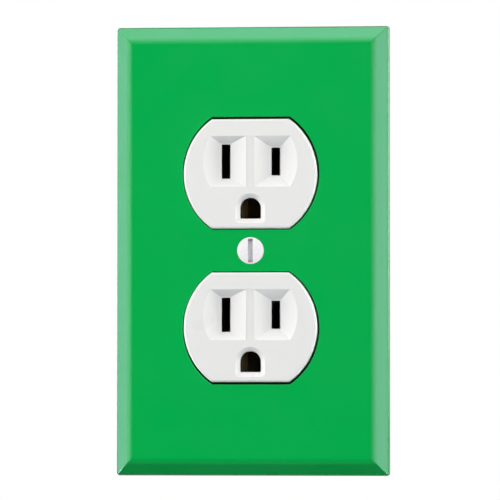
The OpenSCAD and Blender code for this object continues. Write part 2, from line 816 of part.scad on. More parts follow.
// A spring clip behind the strap that grips the upper screw's neck and grounds it to its box
module self_ground_clip() {
    screw_y = mounting_spacing / 2;
    clip_mouth = 1.4;
    color(brass) facing_room() translate([0, 0, strap_back - eps - clip_t]) linear_extrude(clip_t)
        difference() {
        union() {
            translate([clip_rivet_x, clip_rivet_y]) rounded_rect(5, 4.6, 1);
            translate([0, screw_y]) circle(r = clip_r);
            translate([clip_arm_x, clip_rivet_y - 1.6]) square([clip_arm_w, screw_y - clip_rivet_y + 0.2]);
        }
        translate([0, screw_y]) circle(r = mounting_neck_r + 0.06);
        // the way in for the screw's neck
        translate([-clip_r - past, screw_y - clip_mouth / 2]) square([clip_r + past, clip_mouth]);
        translate([clip_rivet_x, clip_rivet_y]) circle(r = clip_rivet_r + 0.05);
    }
}

module clip_rivet() {
    color(nickel) facing_room() translate([clip_rivet_x, clip_rivet_y, 0])
        rivet(clip_rivet_r, strap_back - eps - clip_t, strap_front, 1.7, 0.5);
}

// ---------- nodes ----------

wall_plate();
cover_screw();
receptacle_face();
back_body();
mounting_strap();
hot_contact();
neutral_contact();
ground_contact_upper();
ground_contact_lower();
ground_contact_rivets();
assembly_rivets();
terminal_clamp(1, 1, brass);  // hot_clamp_upper
terminal_clamp(1, -1, brass);  // hot_clamp_lower
terminal_clamp(-1, 1, nickel);  // neutral_clamp_upper
terminal_clamp(-1, -1, nickel);  // neutral_clamp_lower
ground_clamp();
terminal_screw(1, 1, brass);  // hot_screw_upper
terminal_screw(1, -1, brass);  // hot_screw_lower
terminal_screw(-1, 1, nickel);  // neutral_screw_upper
terminal_screw(-1, -1, nickel);  // neutral_screw_lower
ground_screw();
mounting_screw(1);  // mounting_screw_upper
mounting_screw(-1);  // mounting_screw_lower
retaining_washer();
self_ground_clip();
clip_rivet();
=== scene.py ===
"""The looks of a single-gang wall plate on its grounded duplex receptacle.

Lengths of the object are in millimetres until a point is made. Flat outlines are drawn as seen from the
room, (x, y) with y up, and h is the height off the wall's surface, towards the room. room_point() turns
the three into the frame's metres. The camera and the lights are placed in metres.
"""
import json
import math

import bmesh
import bpy
from mathutils import Matrix, Vector

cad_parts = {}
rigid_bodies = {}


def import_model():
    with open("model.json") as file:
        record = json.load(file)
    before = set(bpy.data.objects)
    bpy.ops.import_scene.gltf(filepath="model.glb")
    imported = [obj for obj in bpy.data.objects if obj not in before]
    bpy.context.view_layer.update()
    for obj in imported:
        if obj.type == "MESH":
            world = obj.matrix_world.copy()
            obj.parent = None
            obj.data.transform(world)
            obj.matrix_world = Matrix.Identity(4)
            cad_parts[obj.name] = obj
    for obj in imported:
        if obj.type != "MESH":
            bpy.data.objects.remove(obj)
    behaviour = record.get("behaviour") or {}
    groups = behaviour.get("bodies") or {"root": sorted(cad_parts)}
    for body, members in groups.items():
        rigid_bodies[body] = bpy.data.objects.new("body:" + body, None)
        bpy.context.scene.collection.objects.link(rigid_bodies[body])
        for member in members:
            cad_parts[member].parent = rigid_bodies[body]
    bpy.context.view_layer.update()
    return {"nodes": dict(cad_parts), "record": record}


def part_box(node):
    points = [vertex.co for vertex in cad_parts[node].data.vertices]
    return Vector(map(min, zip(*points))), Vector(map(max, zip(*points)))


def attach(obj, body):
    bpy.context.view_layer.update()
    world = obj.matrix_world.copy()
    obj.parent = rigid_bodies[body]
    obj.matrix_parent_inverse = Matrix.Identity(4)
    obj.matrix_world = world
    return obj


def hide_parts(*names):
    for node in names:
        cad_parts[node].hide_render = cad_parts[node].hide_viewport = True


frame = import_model()
scene = bpy.context.scene

MM = 0.001

# ---------- what the frame says, in millimetres ----------

body_of = {node: body for body, nodes in frame["record"]["behaviour"]["bodies"].items() for node in nodes}
mounts = {mount["name"]: mount for mount in frame["record"]["mounts"]}

plate_low, plate_high = (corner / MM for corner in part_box("wall_plate"))
plate_w = plate_high.x - plate_low.x
plate_h = plate_high.z - plate_low.z
plate_x = (plate_low.x + plate_high.x) / 2
plate_depth = -plate_low.y

face_low, face_high = (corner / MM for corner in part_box("receptacle_face"))
face_top = -face_low.y
face_bottom = -face_high.y
flange_w = face_high.x - face_low.x
face_y = mounts["outlet_upper"]["pos_m"][2] / MM

head_low, head_high = (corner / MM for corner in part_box("cover_screw"))
cover_head_r = (head_high.x - head_low.x) / 2
cover_head_top = -head_low.y
cover_screw_tip = -head_high.y

# ---------- sizes that the frame doesn't hold ----------

PLATE_SIDE = 2.4          # height of the side below the bevel
PLATE_DRAFT = 0.25        # how far the side leans in
PLATE_BEVEL = plate_depth - PLATE_SIDE
PLATE_EDGE = 0.25         # radius of the rim's outer edge
PLATE_SHOULDER = 0.9      # radius from the side to the bevel
PLATE_CORNER = 0.8
PLATE_MITRE = 0.12        # radius left along the mitres between two bevels
PLATE_BLEND = 2.8         # radius from the bevel to the flat front
PLATE_WALL = 2.2
PLATE_RIM = 2.0
BEVEL_WALL = 2.0
RIB_X = 19.8
RIB_T = 1.2
RIB_L = 98.0
RIB_LOW = 0.7
CROSS_RIB_Y = (-40, -13, 13, 40)
CROSS_RIB_LOW = 1.7
CROSS_RIB_T = 1.0
CROSS_RIB_END = 1.6       # how far its deep part stops short of the rim
RIB_EDGE = 0.25
RIB_CORNER = 0.3
ROOT = 0.3                # how far a rib or boss reaches into the plate's wall
BOSS_R = 4.4
BOSS_LOW = 2.85
BOSS_EDGE = 0.2
SCREW_HOLE_R = 2.1
SCREW_SINK = 0.1          # how much wider the countersink is than the head
OPENING_GAP = 0.42        # between a face and the plate, all round
OPENING_SPREAD = 0.18     # how much further out than the faces the openings are
OPENING_EDGE = 0.14

FACE_D = 34.0
FACE_H = 27.8
FACE_EDGE = 0.7
FACE_SOFT = 0.12          # rounding of the recesses' and holes' edges
FLANGE_TOP = 2.6
FLANGE_EDGE = 0.4
FLANGE_CORNER = 4.5
MOAT_W = 0.9              # the trough round each face
MOAT_FLOOR = 1.9
BLADE_X = 6.35
BLADE_RISE = 3.175
GROUND_DROP = 11.9
SLOT_W = 2.2
SLOT_H = {-1: 8.7, 1: 7.1}     # left, neutral; right, hot
SLOT_CORNER = 0.25
SLOT_LAND = 0.25
GROOVE_DEPTH = 1.9
RECESS_D = 24.1
RECESS_H = 12.9
RIDGE_W = 1.9
RIDGE_DROP = 0.15
GROUND_W = 5.3
GROUND_CORNER = 0.35
FUNNEL_W = 7.6
FUNNEL_DEPTH = 0.9
COLLAR_HOLE_R = 2.4       # round the strap's threaded collar

GROUND_Y = [s * face_y + BLADE_RISE - GROUND_DROP for s in (1, -1)]
STRAP_CHANNEL = (         # what the strap's parts take out of the face's back: w, h, corner, x, y
    (7.7, 90.0, 0.2, 0, 0),
    (25.3, 9.5, 1.65, 0, 0),
    (18.3, 13.3, 2.65, 0, 39.2),
    (18.3, 13.3, 2.65, 0, -39.2),
    (15.3, 9.7, 2.15, 0, GROUND_Y[0]),
    (15.3, 9.7, 2.15, 0, GROUND_Y[1]),
    (12.0, 7.7, 0.2, -6.0, -29.25))
STRAP_CHANNEL_TOP = 1.55
RIVET_POCKET_X = 5.6
RIVET_POCKET_R = 2.0
RIVET_POCKET_TOP = 2.2
RIVET_X = 8.6
RIVET_R = 1.5
RIVET_CLEARANCE = 0.1

SCREW_PITCH = 0.79375
THREAD_6 = 1.753
THREAD_8 = 2.083
THREAD_DEPTH = 0.42
THREAD_START = 0.3        # how far a thread or neck reaches into the screw's head
HEAD_HALF_ANGLE = math.radians(41)
HEAD_SOFT = 0.07          # rounding of a round head's edges
COVER_DOME = 0.55
COVER_RIM = 0.06
COVER_SLOT = (0.6, 3.05, 1.35)    # half width, half length and depth
COVER_SLOT_SLOPE = 0.35
DRIVER_SLOT = (0.6, 4.6, 1.1)
HEAD_8 = (3.9, 1.9)       # radius and height of a terminal screw's head
HEAD_6 = (3.1, 1.8)       # and of a mounting screw's
HEX_HEAD = (7.0, 2.4)     # across the flats, and height
HEX_CHAMFER = 0.35
HEX_EDGE = 0.12
HEX_SOFT = 0.1
NECK_R = 1.4
NECK_L = 2.6
PAST = 1.0                # how far a cutter runs past what it cuts
WELD = 0.0005 * MM        # points closer than this are one


# ---------- outlines: lists of (x, y), the same number of points at every size ----------

def arc(cx, cy, r, start, end, steps):
    """Points along an arc, both ends included, with angles in degrees."""
    angles = [math.radians(start + (end - start) * i / steps) for i in range(steps + 1)]
    return [(cx + r * math.cos(a), cy + r * math.sin(a)) for a in angles]


def rounded_rect(w, h, r, steps=7):
    """A rectangle with rounded corners."""
    x, y = w / 2 - r, h / 2 - r
    corners = ((x, y, 0), (-x, y, 90), (-x, -y, 180), (x, -y, 270))
    return [point for cx, cy, start in corners for point in arc(cx, cy, r, start, start + 90, steps)]


def circle(r, steps=64):
    return arc(0, 0, r, 0, 360 * (steps - 1) / steps, steps - 1)


def flatted(d, h, steps=44):
    """A circle whose top and bottom are cut flat."""
    reach = math.degrees(math.asin(h / d))
    return arc(0, 0, d / 2, -reach, reach, steps) + arc(0, 0, d / 2, 180 - reach, 180 + reach, steps)


def ground_outline(w, corner):
    """A round top on a square bottom."""
    half = w / 2
    return (arc(0, 0, half, 0, 180, 32)
            + arc(corner - half, corner - half, corner, 180, 270, 4)
            + arc(half - corner, corner - half, corner, 270, 360, 4))


def between(a, b, steps):
    """Points on the straight line from a to b, without b."""
    return [(a[0] + (b[0] - a[0]) * i / steps, a[1] + (b[1] - a[1]) * i / steps) for i in range(steps)]


# ---------- meshes ----------

def room_point(x, y, h):
    return Vector((x, -h, y)) * MM


def new_object(name, bm):
    """An object from a bmesh, whose normals are made to point outwards."""
    bmesh.ops.recalc_face_normals(bm, faces=bm.faces)
    mesh = bpy.data.meshes.new(name)
    bm.to_mesh(mesh)
    bm.free()
    piece = bpy.data.objects.new(name, mesh)
    scene.collection.objects.link(piece)
    return piece


def loft(name, loops):
    """A closed solid through loops of points, all with the same number of points, capped at both ends."""
    bm = bmesh.new()
    rows = [[bm.verts.new(point) for point in loop] for loop in loops]
    for lower, upper in zip(rows, rows[1:]):
        for i in range(len(lower)):
            j = (i + 1) % len(lower)
            bm.faces.new((lower[i], lower[j], upper[j], upper[i]))
    bm.faces.new(rows[0])
    bm.faces.new(rows[-1])
    return new_object(name, bm)


def stack(name, outline, profile, x=0, y=0):
    """A solid facing the room. outline(grow) gives the flat outline, and profile its (grow, h) levels."""
    return loft(name, [[room_point(px + x, py + y, h) for px, py in outline(grow)] for grow, h in profile])


def rounded_levels(low, high, r_low=0.0, r_high=0.0, steps=5):
    """(grow, h) levels of a prism whose lower and upper edges are sharp or rounded."""
    foot = [(0, low)]
    if r_low:
        foot = [(g - r_low, h) for g, h in arc(0, low + r_low, r_low, -90, 0, steps)]
    top = [(0, high)]
    if r_high:
        top = [(g - r_high, h) for g, h in arc(0, high - r_high, r_high, 0, 90, steps)]
    return foot + top


def flared_levels(low, high, r, steps=5):
    """(grow, h) levels of a cutter that leaves a rounded edge where it comes out at the height high."""
    return [(0, low)] + [(r + g, h) for g, h in arc(0, high - r, r, 180, 90, steps)] + [(r, high + PAST)]


def box(name, x, y, h):
    """A box facing the room, from pairs of limits."""
    outline = ((x[0], y[0]), (x[1], y[0]), (x[1], y[1]), (x[0], y[1]))
    return loft(name, [[room_point(px, py, level) for px, py in outline] for level in h])


def lathe(name, profile, steps):
    """A solid turned about local Z, from (radius, z) levels."""
    return loft(name, [[Vector((x, y, z)) * MM for x, y in circle(r, steps)] for r, z in profile])


def threaded(name, r, low, high, steps=40):
    """A rod about local Z with a helical thread whose crests are at r and that fades out at both ends."""
    along = ((0.0, 0.0), (0.14, 0.0), (0.46, 1.0), (0.68, 1.0))   # share of the pitch, share of the depth
    bm = bmesh.new()
    rows = []
    for turn in range(-1, math.ceil((high - low) / SCREW_PITCH) + 2):
        for at, sunk in along:
            row = []
            for i in range(steps + 1):
                z = low + (turn + at + i / steps) * SCREW_PITCH
                fade = max(0, min(1, (z - low) / SCREW_PITCH, (high - z) / SCREW_PITCH))
                radius = r - THREAD_DEPTH * (1 - fade * (1 - sunk))
                angle = 2 * math.pi * (i % steps) / steps
                row.append(bm.verts.new(Vector((radius * math.cos(angle), radius * math.sin(angle),
                                                min(max(z, low), high))) * MM))
            rows.append(row)
    for lower, upper in zip(rows, rows[1:]):
        for i in range(steps):
            bm.faces.new((lower[i], lower[i + 1], upper[i + 1], upper[i]))
    for end in (rows[0][:-1], rows[-1][:-1]):
        bm.faces.new([bm.verts.new(vert.co) for vert in end])
    bmesh.ops.remove_doubles(bm, verts=bm.verts, dist=WELD)
    return new_object(name, bm)


def turn_to(piece, rows, at, spin=0.0):
    """Moves a piece drawn about local Z to its seat.

    rows is the rotation, at is where its origin goes, and spin is how far it turns about its own axis.
    """
    rotation = Matrix(rows) @ Matrix.Rotation(math.radians(spin), 3, "Z")
    piece.data.transform(Matrix.Translation(Vector(at) * MM) @ rotation.to_4x4())
    return piece


def facing_room():
    return ((1, 0, 0), (0, 0, -1), (0, 1, 0))


def facing_side(side):
    """Local Z points out of the right side (1) or the left side (-1)."""
    return ((0, 0, side), (side, 0, 0), (0, 1, 0))


def driver_cut(half_w, half_l, floor, top, slope=0.0):
    """A screwdriver slot along local Y, its ends sloping inwards by slope on their way down."""
    levels = ((half_l - slope, floor), (half_l, top), (half_l, top + PAST))
    loops = [[Vector((x, y, z)) * MM for x, y in ((-half_w, -l), (half_w, -l), (half_w, l), (-half_w, l))]
             for l, z in levels]
    return loft("slot", loops)


def apply_modifiers(piece):
    bpy.context.view_layer.update()
    evaluated = piece.evaluated_get(bpy.context.evaluated_depsgraph_get())
    mesh = bpy.data.meshes.new_from_object(evaluated)
    piece.modifiers.clear()
    old = piece.data
    piece.data = mesh
    bpy.data.meshes.remove(old)


def combine(piece, others, operation):
    """Joins the others to piece (UNION) or cuts them from it (DIFFERENCE)."""
    for other in others:
        modifier = piece.modifiers.new("combine", "BOOLEAN")
        modifier.solver = "MANIFOLD"
        modifier.operation = operation
        modifier.object = other
        apply_modifiers(piece)
        bpy.data.objects.remove(other)
    clean(piece.data)
    return piece


def clean(mesh):
    """Welds what coincides and merges flat neighbours into one face."""
    bm = bmesh.new()
    bm.from_mesh(mesh)
    bmesh.ops.remove_doubles(bm, verts=bm.verts, dist=WELD)
    bmesh.ops.dissolve_degenerate(bm, dist=WELD, edges=bm.edges)
    bmesh.ops.dissolve_limit(bm, angle_limit=math.radians(0.3), verts=bm.verts, edges=bm.edges)
    bm.to_mesh(mesh)
    bm.free()


def soften(mesh, width, angle):
    """Rounds every edge sharper than angle."""
    bm = bmesh.new()
    bm.from_mesh(mesh)
    hard = [e for e in bm.edges if e.is_manifold and e.calc_face_angle(0) > math.radians(angle)]
    bmesh.ops.bevel(bm, geom=hard, offset=width * MM, offset_type="OFFSET", segments=2,
                    profile=0.5, affect="EDGES", clamp_overlap=True)
    bm.to_mesh(mesh)
    bm.free()


def shade(piece):
    """Smooth shading that stays crisp on flat faces and at edges sharper than 30 degrees."""
    mesh = piece.data
    mesh.polygons.foreach_set("use_smooth", [True] * len(mesh.polygons))
    mesh.set_sharp_from_angle(angle=math.radians(30))
    weighted = piece.modifiers.new("weighted", "WEIGHTED_NORMAL")
    weighted.keep_sharp = True
    weighted.weight = 100


def from_cad(node, width):
    """A new piece with a CAD node's shape and its hard edges rounded."""
    bm = bmesh.new()
    bm.from_mesh(frame["nodes"][node].data)
    bmesh.ops.remove_doubles(bm, verts=bm.verts, dist=0.001 * MM)
    bmesh.ops.dissolve_limit(bm, angle_limit=math.radians(0.6), verts=bm.verts, edges=bm.edges)
    piece = new_object(node + ".look", bm)
    soften(piece.data, width, 25)
    return piece


def finish_piece(piece, node, material):
    """Shades a piece, gives it its material, and puts it in the place of a CAD node."""
    shade(piece)
    piece.data.materials.clear()
    piece.data.materials.append(material)
    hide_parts(node)
    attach(piece, body_of[node])
    return piece


# ---------- materials ----------

def make_nodes(name):
    material = bpy.data.materials.new(name)
    material.use_nodes = True
    tree = material.node_tree
    return material, tree, tree.nodes["Principled BSDF"]


def add(tree, kind, inputs=(), **settings):
    """A node with its settings and inputs; an input is a number, a colour or another node's output."""
    made = tree.nodes.new(kind)
    for key, value in settings.items():
        setattr(made, key, value)
    for key, value in dict(inputs).items():
        if isinstance(value, bpy.types.NodeSocket):
            tree.links.new(value, made.inputs[key])
        else:
            made.inputs[key].default_value = value
    return made


def place(tree, stretch=(1, 1, 1)):
    """Where a point is on its piece, in metres, scaled so that a pattern can be stretched."""
    where = add(tree, "ShaderNodeTexCoord").outputs["Object"]
    return add(tree, "ShaderNodeMapping", {"Vector": where, "Scale": stretch}).outputs["Vector"]


def noise(tree, size, detail=2.0, roughness=0.5, stretch=(1, 1, 1), distortion=0.0):
    """Noise whose lumps are about size millimetres across, as a number from 0 to 1."""
    return add(tree, "ShaderNodeTexNoise", {
        "Vector": place(tree, stretch), "Scale": 1 / (size * MM), "Detail": detail,
        "Roughness": roughness, "Distortion": distortion}).outputs["Fac"]


def spread(tree, value, low, high, start=0.3, end=0.7):
    """Takes a pattern from low, where it is start, to high, where it is end, and no further."""
    return add(tree, "ShaderNodeMapRange", {
        "Value": value, "From Min": start, "From Max": end,
        "To Min": low, "To Max": high}).outputs["Result"]


def mix_colours(tree, factor, a, b):
    """From a to b as factor, another node's output, goes from 0 to 1."""
    mixer = add(tree, "ShaderNodeMix", data_type="RGBA")
    for key, value in ((0, factor), (6, a), (7, b)):      # where the mix node has its colour inputs
        if isinstance(value, bpy.types.NodeSocket):
            tree.links.new(value, mixer.inputs[key])
        else:
            mixer.inputs[key].default_value = (*value, 1)
    return mixer.outputs[2]


def bump(tree, height, depth, under=None):
    """A bump whose full height is depth millimetres, over another bump if one is given."""
    inputs = {"Height": height, "Distance": depth * MM, "Strength": 1.0}
    if under is not None:
        inputs["Normal"] = under
    return add(tree, "ShaderNodeBump", inputs).outputs["Normal"]


def calculate(tree, operation, *values):
    return add(tree, "ShaderNodeMath", dict(enumerate(values)), operation=operation).outputs[0]


def in_millimetres(tree):
    """Where a point is on its piece, as x, y and z in millimetres."""
    where = add(tree, "ShaderNodeSeparateXYZ", {"Vector": place(tree, (1 / MM, 1 / MM, 1 / MM))})
    return [where.outputs[axis] for axis in "XYZ"]


def painted_shade_places(tree):
    """Painted shade: 1 in the face's slots and ground holes and on the trough floors round its bosses, else
    0.
    """
    x, y, z = in_millimetres(tree)
    level = calculate(tree, "SUBTRACT", calculate(tree, "ABSOLUTE", z), face_y)
    squares = [calculate(tree, "MULTIPLY", part, part) for part in (x, level)]
    middle = calculate(tree, "SQRT", calculate(tree, "ADD", *squares))
    inside = spread(tree, middle, 1, 0, FACE_H / 2 - 1.1, FACE_H / 2 - 0.9)
    groove_floor = face_top - GROOVE_DEPTH
    deep = spread(tree, y, 0, 1, 0.05 - groove_floor, 0.3 - groove_floor)
    holes = calculate(tree, "MULTIPLY", inside, deep)
    normal = add(tree, "ShaderNodeTexCoord").outputs["Normal"]
    away = add(tree, "ShaderNodeSeparateXYZ", {"Vector": normal}).outputs["Y"]      # -1 straight to the room
    trough = calculate(tree, "MULTIPLY", spread(tree, away, 1, 0, -0.8, -0.6),
                       spread(tree, y, 0, 1, -MOAT_FLOOR - 0.4, -MOAT_FLOOR - 0.2))
    return calculate(tree, "MAXIMUM", holes, trough)


def contact_cavities(tree):
    """Painted shade with a brass-brown cast: 1 in the hollows of the body that hold the contacts, else 0."""
    half_w, half_l, depth, fade = 10, 32, 17, 0.5
    x, y, z = in_millimetres(tree)
    across = spread(tree, calculate(tree, "ABSOLUTE", x), 1, 0, half_w, half_w + fade)
    along = spread(tree, calculate(tree, "ABSOLUTE", z), 1, 0, half_l, half_l + fade)
    down = spread(tree, y, 1, 0, depth, depth + 2 * fade)
    return calculate(tree, "MULTIPLY", calculate(tree, "MULTIPLY", across, along), down)


def moulded_plastic(name, colour, shade_colour, rough, grain, grain_depth, specular=0.5,
                    painted_shade_mask=None, painted_shade_colour=(0.022, 0.019, 0.014)):
    """Injection-moulded plastic: a faint flow in its colour, an eggshell surface and uneven gloss.

    grain and grain_depth are in millimetres. A mask, if given, is a pattern from 0 to 1 of where the colour
    is painted darker towards the last colour, as painted shade.
    """
    material, tree, shader = make_nodes(name)
    flow = noise(tree, 22, detail=3, distortion=0.6)
    fleck = noise(tree, 0.7, detail=2)
    tint = mix_colours(tree, spread(tree, flow, 0, 0.7), colour, shade_colour)
    tint = mix_colours(tree, spread(tree, fleck, 0, 0.12), tint, shade_colour)
    # Painted shade: the colour darkens where the mask is 1.
    if painted_shade_mask:
        tint = mix_colours(tree, painted_shade_mask(tree), tint, painted_shade_colour)
    tree.links.new(tint, shader.inputs["Base Color"])
    gloss = noise(tree, 9, detail=4, roughness=0.6)
    tree.links.new(spread(tree, gloss, rough - 0.03, rough + 0.05), shader.inputs["Roughness"])
    eggshell = bump(tree, noise(tree, 3.5, detail=1), 0.004)
    grained = bump(tree, noise(tree, grain, detail=3), grain_depth, under=eggshell)
    tree.links.new(grained, shader.inputs["Normal"])
    shader.inputs["IOR"].default_value = 1.5
    shader.inputs["Specular IOR Level"].default_value = specular
    return material


def sheet_metal(name, colour, darker_part, rough, mottle=3.0, metallic=1.0):
    """Stamped and plated metal: cloudy colour, rolling streaks, and fine scratches."""
    material, tree, shader = make_nodes(name)
    shader.inputs["Metallic"].default_value = metallic
    cloud = noise(tree, mottle, detail=4, roughness=0.6)
    rolled = noise(tree, 0.9, detail=3, stretch=(1, 1, 14))
    tint = mix_colours(tree, spread(tree, cloud, 0, 0.75, 0.35, 0.7), colour, darker_part)
    tint = mix_colours(tree, spread(tree, rolled, 0, 0.25), tint, darker_part)
    tree.links.new(tint, shader.inputs["Base Color"])
    blotch = calculate(tree, "ADD", spread(tree, cloud, -0.06, 0.1), spread(tree, rolled, -0.04, 0.06))
    tree.links.new(calculate(tree, "ADD", blotch, rough), shader.inputs["Roughness"])
    pits = bump(tree, noise(tree, 0.35, detail=3), 0.003)
    tree.links.new(bump(tree, rolled, 0.004, under=pits), shader.inputs["Normal"])
    return material


def fibre_board(name):
    """Vulcanised fibre: dark red-brown, with pressed hairs."""
    material, tree, shader = make_nodes(name)
    hairs = noise(tree, 0.5, detail=4, roughness=0.7, stretch=(1, 3, 0.4), distortion=2.0)
    tree.links.new(mix_colours(tree, spread(tree, hairs, 0, 1), (0.19, 0.065, 0.03), (0.30, 0.13, 0.07)),
                   shader.inputs["Base Color"])
    tree.links.new(spread(tree, hairs, 0.62, 0.85), shader.inputs["Roughness"])
    tree.links.new(bump(tree, hairs, 0.02), shader.inputs["Normal"])
    return material


def enamel(name, colour, shade_colour, shaded_slot_floor, shaded_slot_end):
    """Baked paint over steel, a little wavy, with a clear gloss. The slot's floor is painted darker as
    painted shade, and darker and purplish towards its ends.
    """
    material, tree, shader = make_nodes(name)
    wave = noise(tree, 1.6, detail=2)
    tint = mix_colours(tree, spread(tree, wave, 0, 0.5), colour, shade_colour)
    x, _, z = in_millimetres(tree)
    across, along = calculate(tree, "ABSOLUTE", x), calculate(tree, "ABSOLUTE", z)
    half_w, half_l, _ = COVER_SLOT
    fade = 0.03
    # Painted shade on the slot's floor, deepest and purplish near its ends.
    darker_part = calculate(tree, "MULTIPLY", spread(tree, across, 1, 0, half_w, half_w + fade),
                     spread(tree, along, 1, 0, half_l, half_l + fade))
    near_end = spread(tree, along, 0, 1, half_l - 0.9, half_l - 0.4)
    floor_tint = mix_colours(tree, near_end, shaded_slot_floor, shaded_slot_end)
    tree.links.new(mix_colours(tree, darker_part, tint, floor_tint), shader.inputs["Base Color"])
    tree.links.new(spread(tree, noise(tree, 0.8, detail=3), 0.22, 0.34), shader.inputs["Roughness"])
    tree.links.new(bump(tree, wave, 0.01), shader.inputs["Normal"])
    shader.inputs["Coat Weight"].default_value = 0.25
    shader.inputs["Coat Roughness"].default_value = 0.12
    return material


green_plastic = moulded_plastic("green_moulded", (0.0004, 0.425, 0.075), (0.0004, 0.413, 0.073),
                                rough=0.22, grain=0.22, grain_depth=0.0012)
# Its slots, ground holes and trough floors are painted nearly black, as painted shade.
white_plastic = moulded_plastic("white_moulded", (0.835, 0.832, 0.82), (0.828, 0.825, 0.812),
                                rough=0.3, grain=0.25, grain_depth=0.001, specular=0.3, painted_shade_mask=painted_shade_places)
# Its contact hollows are painted a darker brass-brown, as painted shade.
body_plastic = moulded_plastic("white_textured", (0.72, 0.72, 0.70), (0.68, 0.68, 0.655),
                               rough=0.5, grain=0.3, grain_depth=0.02,
                               painted_shade_mask=contact_cavities, painted_shade_colour=(0.42, 0.33, 0.19))
zinc_steel = sheet_metal("zinc_steel", (0.62, 0.64, 0.66), (0.47, 0.49, 0.53), 0.3)
brass = sheet_metal("brass", (0.80, 0.58, 0.27), (0.55, 0.36, 0.15), 0.26)
dull_brass = sheet_metal("dull_brass", (0.36, 0.26, 0.13), (0.20, 0.14, 0.07), 0.42)
tarnished = sheet_metal("tarnished_brass", (0.86, 0.66, 0.36), (0.60, 0.44, 0.22), 0.45, metallic=0.3)
nickel = sheet_metal("nickel", (0.70, 0.68, 0.64), (0.55, 0.53, 0.50), 0.24, mottle=1.5)
green_dye = sheet_metal("green_dyed", (0.035, 0.33, 0.09), (0.015, 0.19, 0.05), 0.3, mottle=1.2)
fibre = fibre_board("fibre")
# The slot's floor and ends are painted shade.
white_paint = enamel("white_enamel", (0.92, 0.92, 0.93), (0.88, 0.87, 0.90),
                     shaded_slot_floor=(0.82, 0.82, 0.84), shaded_slot_end=(0.60, 0.53, 0.58))


# ---------- wall plate ----------

def plate_outline(grow):
    """The plate's outline. Its corners close up to mitres as it shrinks."""
    return rounded_rect(plate_w + 2 * grow, plate_h + 2 * grow, max(PLATE_MITRE, PLATE_CORNER + grow))


def plate_outside():
    """The plate's outer solid: rim, side, bevel, blend and front."""
    lean = math.atan2(PLATE_DRAFT, PLATE_SIDE)
    reach = PLATE_SHOULDER * math.tan((math.radians(45) - lean) / 2)
    shoulder_x = -PLATE_DRAFT + reach * math.sin(lean) - PLATE_SHOULDER * math.cos(lean)
    shoulder_h = PLATE_SIDE - reach * math.cos(lean) - PLATE_SHOULDER * math.sin(lean)
    blend_x = PLATE_DRAFT + PLATE_BEVEL + PLATE_BLEND * math.tan(math.radians(22.5))
    levels = [(g - PLATE_EDGE, h) for g, h in arc(0, PLATE_EDGE, PLATE_EDGE, -90, 0, 4)]
    levels += arc(shoulder_x, shoulder_h, PLATE_SHOULDER, math.degrees(lean), 45, 6)
    levels += [(g - blend_x, h) for g, h in arc(0, plate_depth - PLATE_BLEND, PLATE_BLEND, 45, 90, 10)]
    return stack("wall_plate.look", plate_outline, levels, x=plate_x)


def plate_hollow():
    """The cutter of the hollow behind the plate: straight at the rim, then parallel to the bevel."""
    ceiling = plate_depth - PLATE_WALL
    straight = PLATE_RIM + PLATE_SIDE - PLATE_DRAFT - BEVEL_WALL * math.sqrt(2)
    foot, flare = 0.4, 0.2
    levels = [(-PLATE_RIM, -PAST), (-PLATE_RIM, straight),
              (-PLATE_RIM - (ceiling - foot - straight), ceiling - foot),
              (-PLATE_RIM - ceiling + straight - flare, ceiling)]
    return stack("hollow", plate_outline, levels, x=plate_x)


def rib(x, y, h):
    """A moulded rib: a box between pairs of limits, its free edge rounded."""
    w, l = x[1] - x[0], y[1] - y[0]
    return stack("rib", lambda g: rounded_rect(w + 2 * g, l + 2 * g, RIB_CORNER, 2),
                 rounded_levels(h[0], h[1], RIB_EDGE),
                 x=(x[0] + x[1]) / 2 + plate_x, y=(y[0] + y[1]) / 2)


def plate_ribs():
    """A long rib on each side, with cross ribs from it to the rim."""
    root = plate_depth - PLATE_WALL + ROOT
    side_root = PLATE_SIDE + 0.4
    ribs = []
    for s in (-1, 1):
        across = (s * RIB_X - RIB_T / 2, s * RIB_X + RIB_T / 2)
        ribs.append(rib(across, (-RIB_L / 2, RIB_L / 2), (RIB_LOW, root)))
        reach = sorted((s * RIB_X, s * (plate_w / 2 - PLATE_RIM / 2)))
        inner_reach = sorted((s * RIB_X, s * (plate_w / 2 - PLATE_RIM - CROSS_RIB_END)))
        for y in CROSS_RIB_Y:
            thick = (y - CROSS_RIB_T / 2, y + CROSS_RIB_T / 2)
            ribs.append(rib(reach, thick, (CROSS_RIB_LOW, side_root)))
            ribs.append(rib(inner_reach, thick, (CROSS_RIB_LOW, root)))
    return ribs


def countersunk_hole():
    """The cutter of the cover screw's hole."""
    flare = cover_head_r + SCREW_SINK - SCREW_HOLE_R
    cone = flare / math.tan(HEAD_HALF_ANGLE)
    return stack("hole", lambda g: circle(SCREW_HOLE_R + g), [
        (0, 0), (0, plate_depth - cone), (flare, plate_depth), (flare, plate_depth + PAST)])


def face_opening(s):
    """The cutter of the upper (1) or lower (-1) opening, with a rounded front edge."""
    def outline(g):
        return flatted(FACE_D + 2 * (OPENING_GAP + g), FACE_H + 2 * (OPENING_GAP + g))
    return stack("opening", outline, flared_levels(BOSS_LOW, plate_depth, OPENING_EDGE),
                 x=plate_x, y=s * (face_y + OPENING_SPREAD))


def build_wall_plate():
    plate = plate_outside()
    combine(plate, [plate_hollow()], "DIFFERENCE")
    root = plate_depth - PLATE_WALL + ROOT
    boss = stack("boss", lambda g: circle(BOSS_R + g), rounded_levels(BOSS_LOW, root, BOSS_EDGE))
    combine(plate, plate_ribs() + [boss], "UNION")
    combine(plate, [countersunk_hole()] + [face_opening(s) for s in (-1, 1)], "DIFFERENCE")
    return finish_piece(plate, "wall_plate", green_plastic)


# ---------- receptacle face ----------

